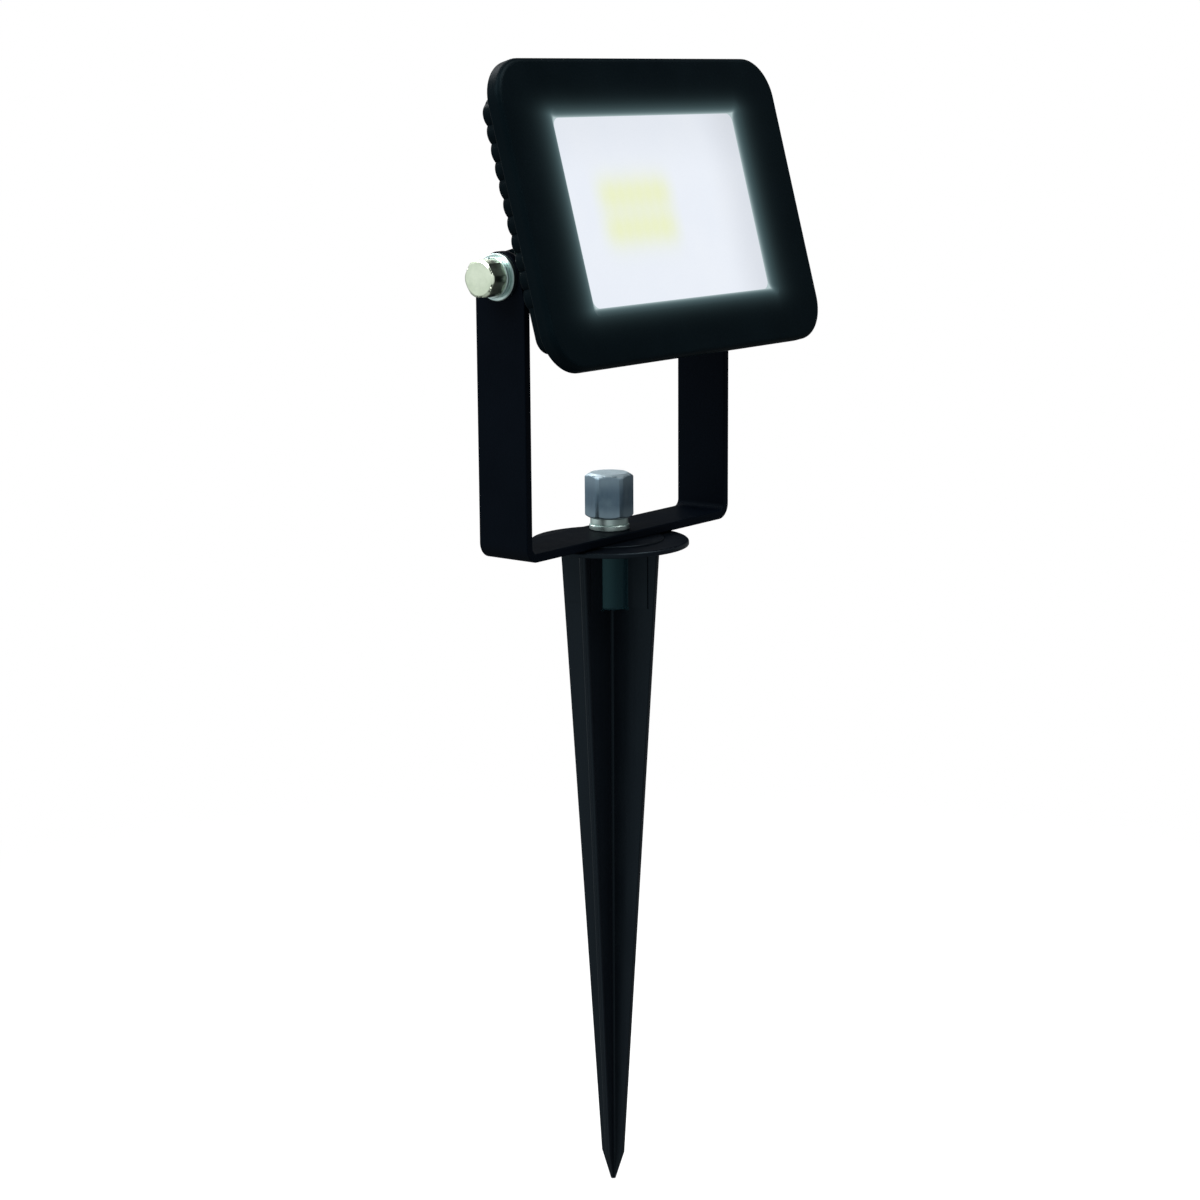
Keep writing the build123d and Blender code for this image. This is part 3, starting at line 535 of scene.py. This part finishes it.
def transformer():
    """Yellow tape over the winding, and grey ferrite at both ends."""
    shader = Shader("transformer_tape")
    x, _, _ = shader.in_head()
    tape = shader.ramp(shader.absolute(x), 5.2 * MM, 5.0 * MM)
    layers = shader.noise(0.6 * MM, 2.0, stretch=(1.0, 0.3, 0.3))
    grit = shader.noise(0.15 * MM, 2.0)
    yellow = shader.mix(layers, rgba(0.62, 0.42, 0.035), rgba(0.78, 0.57, 0.07))
    ferrite = shader.mix(grit, rgba(0.018, 0.018, 0.020), rgba(0.050, 0.050, 0.055))
    return shader.finish(
        Base_Color=shader.mix(tape, ferrite, yellow),
        Roughness=shader.ramp(tape, 0.0, 1.0, 0.60, 0.32),
        Normal=shader.bump(shader.mix(tape, grit, layers), 0.03 * MM),
    )


def capacitor_sleeves():
    """Dark blue shrink sleeve with a pale stripe, and a bare aluminium top."""
    shader = Shader("capacitor_sleeve")
    facing = shader.to_object(shader.node("ShaderNodeNewGeometry").outputs["Normal"], "NORMAL")
    _, front, up = shader.split(shader.rotate(facing, LEAN))
    top = shader.ramp(front, -0.80, -0.92)
    stripe = shader.times(shader.ramp(up, 0.86, 0.90), shader.minus(1.0, top))
    creases = shader.noise(0.7 * MM, 3.0)
    sleeve = shader.mix(creases, rgba(0.010, 0.018, 0.075), rgba(0.020, 0.032, 0.120))
    sleeve = shader.mix(stripe, sleeve, rgba(0.52, 0.56, 0.62))
    return shader.finish(
        Base_Color=shader.mix(top, sleeve, rgba(0.74, 0.75, 0.76)),
        Metallic=top,
        Roughness=shader.ramp(creases, 0.3, 0.7, 0.22, 0.34),
        Normal=shader.bump(creases, 0.03 * MM),
    )


def lead_insulation():
    """Red and black insulation, one colour for each of the two leads."""
    shader = Shader("lead_red")
    x, _, _ = shader.in_head()
    grain = shader.noise(0.25 * MM, 2.0)
    red = shader.mix(grain, rgba(0.42, 0.015, 0.012), rgba(0.55, 0.030, 0.020))
    black = shader.mix(grain, rgba(0.010, 0.010, 0.011), rgba(0.022, 0.022, 0.024))
    return shader.finish(
        Base_Color=shader.mix(shader.math("GREATER_THAN", x, 0.0), red, black),
        Roughness=shader.ramp(grain, 0.3, 0.7, 0.32, 0.44),
        Normal=shader.bump(grain, 0.01 * MM),
    )


def mains_core_insulation():
    """Brown, blue and green-and-yellow insulation, with tinned sleeves on the free ends."""
    shader = Shader("mains_core_plastic")
    x, depth, height = shader.in_head()
    grain = shader.noise(0.3 * MM, 2.0)
    inward = shader.ramp(x, CABLE_X, -8 * MM)
    live = shader.math("GREATER_THAN", height, shader.math("MULTIPLY_ADD", inward, 2.2 * MM, 0.35 * MM))
    outside = shader.math("GREATER_THAN", depth, SHEATH_END - 8 * MM)
    left = shader.times(outside, shader.math("LESS_THAN", x, CABLE_X))
    low = shader.times(shader.minus(1.0, outside), shader.math("LESS_THAN", height, -2 * MM))
    neutral = shader.math("MAXIMUM", left, low)

    stripe = shader.math("FRACT", shader.over(shader.math("ADD", x, height), 1.7 * MM))
    striped = shader.math("LESS_THAN", stripe, 0.45)
    earth = shader.mix(striped, rgba(0.62, 0.58, 0.02), rgba(0.03, 0.26, 0.05))
    colour = shader.mix(neutral, earth, rgba(0.02, 0.10, 0.42))
    colour = shader.mix(live, colour, rgba(0.14, 0.055, 0.020))
    colour = shader.mix(shader.ramp(grain, 0.55, 0.80, 0.0, 0.3), colour, rgba(0.30, 0.30, 0.30))
    sleeve = shader.math("GREATER_THAN", depth, CORE_END - 3.2 * MM)
    rings = shader.noise(0.35 * MM, 1.0, shader.join(0.0, depth, 0.0))
    relief = shader.mix(sleeve, grain, rings)
    return shader.finish(
        Base_Color=shader.mix(sleeve, colour, rgba(0.74, 0.74, 0.72)),
        Metallic=sleeve,
        Roughness=shader.ramp(grain, 0.3, 0.7, 0.30, 0.44),
        Normal=shader.bump(relief, 0.02 * MM),
    )


# ------------------------------------------------------------------ dressing the CAD nodes

def soften(name, width):
    """Round the sharp edges of a node by this much."""
    node = frame["nodes"][name]
    weld = node.modifiers.new("weld", "WELD")
    weld.merge_threshold = 0.002 * MM
    bevel = node.modifiers.new("round_edges", "BEVEL")
    bevel.width = width
    bevel.segments = 2
    bevel.limit_method = "ANGLE"
    bevel.angle_limit = math.radians(32)
    bevel.use_clamp_overlap = False
    bevel.harden_normals = True


def dress(name, material):
    """Give a node its one material."""
    mesh = frame["nodes"][name].data
    mesh.materials.clear()
    mesh.materials.append(material)


BLACK = (0.0006, 0.0016, 0.0023)
TEAL_SHEEN = (0.50, 0.85, 1.0)
BLUE_SHEEN = (0.62, 0.78, 1.0)
BRIGHT_ZINC = ((0.84, 0.90, 0.72), (0.68, 0.75, 0.58))
COOL_ZINC = ((0.62, 0.74, 0.70), (0.44, 0.56, 0.54))
NYLON = (0.0040, 0.0044, 0.0052)
BASE_AXIS = dict(axis_point=(0, 0, 0), axis=(0, 0, 1))
PIVOT_AXIS = dict(axis_point=PIVOT, axis=(1, 0, 0))

finishes = {
    "front_frame": powder_coat("frame_paint", BLACK, TEAL_SHEEN, glow=window_halo),
    "rear_housing": powder_coat("housing_paint", BLACK, TEAL_SHEEN, 0.7 * MM),
    "driver_cover": powder_coat("cover_paint", BLACK, TEAL_SHEEN, 0.7 * MM),
    "bracket": powder_coat("bracket_paint", (0.0007, 0.0013, 0.0024), BLUE_SHEEN, 1.1 * MM, specular=0.024),
    "front_glass": lit_glass(),
    "glass_gasket": rubber("gasket_rubber", (0.020, 0.020, 0.021)),
    "reflector": white_reflector(),
    "led_board": lamp_board(),
    "led_chips": lamp_chips(),
    "led_board_screws": plated("small_screw_zinc", *BRIGHT_ZINC, 0.26),
    "thermal_pad": thermal_sheet(),
    "frame_screws": plated("frame_screw_zinc", *BRIGHT_ZINC, 0.28),
    "cover_seal": rubber("cover_seal_rubber", (0.012, 0.012, 0.013)),
    "cover_screws": plated("cover_screw_zinc", *BRIGHT_ZINC, 0.28),
    "driver_board": circuit_board(),
    "driver_screws": plated("driver_screw_zinc", *BRIGHT_ZINC, 0.26),
    "driver_transformer": transformer(),
    "driver_capacitors": capacitor_sleeves(),
    "driver_chips": moulded("chip_black", (0.012, 0.012, 0.013), 0.5, 0.15 * MM),
    "terminal_block": moulded("terminal_white", (0.70, 0.70, 0.66), 0.40, 0.5 * MM),
    "led_leads": lead_insulation(),
    "mains_cores": mains_core_insulation(),
    "gland_body": moulded("gland_plastic", NYLON, 0.40, 0.35 * MM, 0.10),
    "gland_locknut": moulded("locknut_plastic", NYLON, 0.40, 0.35 * MM, 0.10),
    "gland_seal": rubber("gland_rubber", (0.016, 0.016, 0.017)),
    "gland_nut": moulded("gland_nut_plastic", NYLON, 0.38, 0.35 * MM, 0.10),
    "power_cable": cable_sheath(),
    "stake": moulded_stake(),
    "stake_stud": plated("stud_zinc", *BRIGHT_ZINC, 0.30, **BASE_AXIS),
    "base_flat_washer": plated("base_washer_zinc", *COOL_ZINC, 0.30, **BASE_AXIS),
    "base_spring_washer": plated("base_spring_zinc", *COOL_ZINC, 0.30, **BASE_AXIS),
    "cap_nut": zinc_cap_nut(),
    "left_pivot_bolt": plated("left_bolt_zinc", *BRIGHT_ZINC, 0.36, **PIVOT_AXIS),
    "right_pivot_bolt": plated("right_bolt_zinc", *BRIGHT_ZINC, 0.36, **PIVOT_AXIS),
    "pivot_flat_washers": plated("pivot_washer_zinc", *COOL_ZINC, 0.34, **PIVOT_AXIS),
    "pivot_spring_washers": plated("pivot_spring_zinc", *COOL_ZINC, 0.34, **PIVOT_AXIS),
    "friction_washers": moulded("friction_nylon", (0.012, 0.012, 0.012), 0.4),
}
for node_name, material in finishes.items():
    dress(node_name, material)

EDGES = {
    "cap_nut": 0.25,
    "left_pivot_bolt": 0.22,
    "right_pivot_bolt": 0.22,
    "gland_body": 0.2,
    "gland_nut": 0.3,
}
for node_name, width in EDGES.items():
    soften(node_name, width * MM)


# ------------------------------------------------------------------ floor, light and camera

def white_floor():
    """A plain pale floor under the tip of the stake."""
    bpy.ops.mesh.primitive_grid_add(x_subdivisions=4, y_subdivisions=4, size=30.0)
    floor = bpy.context.object
    floor.name = "floor"
    floor.location.z = cad_low.z - 0.1 * MM
    shader = Shader("floor_white")
    matt = shader.node("ShaderNodeBsdfDiffuse", {"Color": rgba(0.92, 0.92, 0.92)}).outputs[0]
    fill = shader.node("ShaderNodeEmission", {"Color": rgba(1, 1, 1), "Strength": 1.0}).outputs[0]
    distance = shader.vector("LENGTH", shader.place)
    share = shader.ramp(distance, 0.05, 0.45, 0.80, 1.0)
    both = shader.node("ShaderNodeMixShader", {0: share, 1: matt, 2: fill}).outputs[0]
    floor.data.materials.append(shader.surface(both))
    floor.visible_glossy = False


def direction(azimuth, rise):
    """A unit vector from the lamp. Azimuth 0 is in front and 90 to the right of the lamp, in degrees."""
    turn = math.radians(azimuth)
    lift = math.radians(rise)
    return Vector((math.sin(turn) * math.cos(lift), -math.cos(turn) * math.cos(lift), math.sin(lift)))


def studio_world():
    """White to the camera. Reflections see a grey room that is lighter on the left and overhead."""
    world = bpy.data.worlds.new("studio")
    world.use_nodes = True
    scene.world = world
    nodes = Nodes(world.node_tree)
    outward = nodes.node("ShaderNodeTexCoord").outputs["Generated"]
    lighter = nodes.vector("DOT_PRODUCT", outward, tuple(direction(-110, 35)))
    level = nodes.ramp(lighter, -0.35, 0.60, 0.20, 0.80)
    room = nodes.node("ShaderNodeBackground", {"Color": rgba(0.92, 0.98, 1.0), "Strength": level})
    white = nodes.node("ShaderNodeBackground", {"Color": rgba(1, 1, 1), "Strength": 1.0})
    to_camera = nodes.node("ShaderNodeLightPath").outputs["Is Camera Ray"]
    both = nodes.node("ShaderNodeMixShader", {0: to_camera, 1: room.outputs[0], 2: white.outputs[0]})
    nodes.node("ShaderNodeOutputWorld", {"Surface": both.outputs[0]})


def soft_panel(name, azimuth, rise, distance, size, power, colour):
    """A soft rectangular light that looks at the lamp."""
    data = bpy.data.lights.new(name, "AREA")
    data.shape = "RECTANGLE"
    data.size = size[0]
    data.size_y = size[1]
    data.energy = power
    data.color = colour
    lamp = bpy.data.objects.new(name, data)
    scene.collection.objects.link(lamp)
    centre = (cad_low + cad_high) / 2
    lamp.location = centre + direction(azimuth, rise) * distance
    lamp.rotation_mode = "QUATERNION"
    lamp.rotation_quaternion = (centre - lamp.location).to_track_quat("-Z", "Y")
    lamp.visible_camera = False


def place_camera():
    """The camera looks from the front left, a little above the lamp."""
    data = bpy.data.cameras.new("camera")
    data.lens = CAMERA_LENS
    data.sensor_width = CAMERA_SENSOR
    data.clip_start = 0.02
    data.clip_end = 60.0
    camera = bpy.data.objects.new("camera", data)
    scene.collection.objects.link(camera)
    back = direction(CAMERA_AZIMUTH, CAMERA_RISE)
    right = Vector((0, 0, 1)).cross(back).normalized()
    up = back.cross(right)
    roll = math.radians(CAMERA_ROLL)
    roll_right = right * math.cos(roll) + up * math.sin(roll)
    roll_up = up * math.cos(roll) - right * math.sin(roll)
    turn = Matrix((roll_right, roll_up, back)).transposed()
    camera.matrix_world = Matrix.Translation(CAMERA_AIM + back * CAMERA_DISTANCE) @ turn.to_4x4()
    scene.camera = camera


white_floor()
studio_world()
soft_panel("key_panel", 15, 64, 1.3, (1.0, 0.8), 22, (1.0, 0.99, 0.97))
soft_panel("side_panel", -108, 50, 1.2, (0.5, 0.8), 13, (0.96, 0.99, 1.0))
soft_panel("back_panel", 155, 45, 1.4, (0.9, 0.8), 15, (0.96, 0.98, 1.0))
place_camera()
scene.view_settings.view_transform = "Standard"
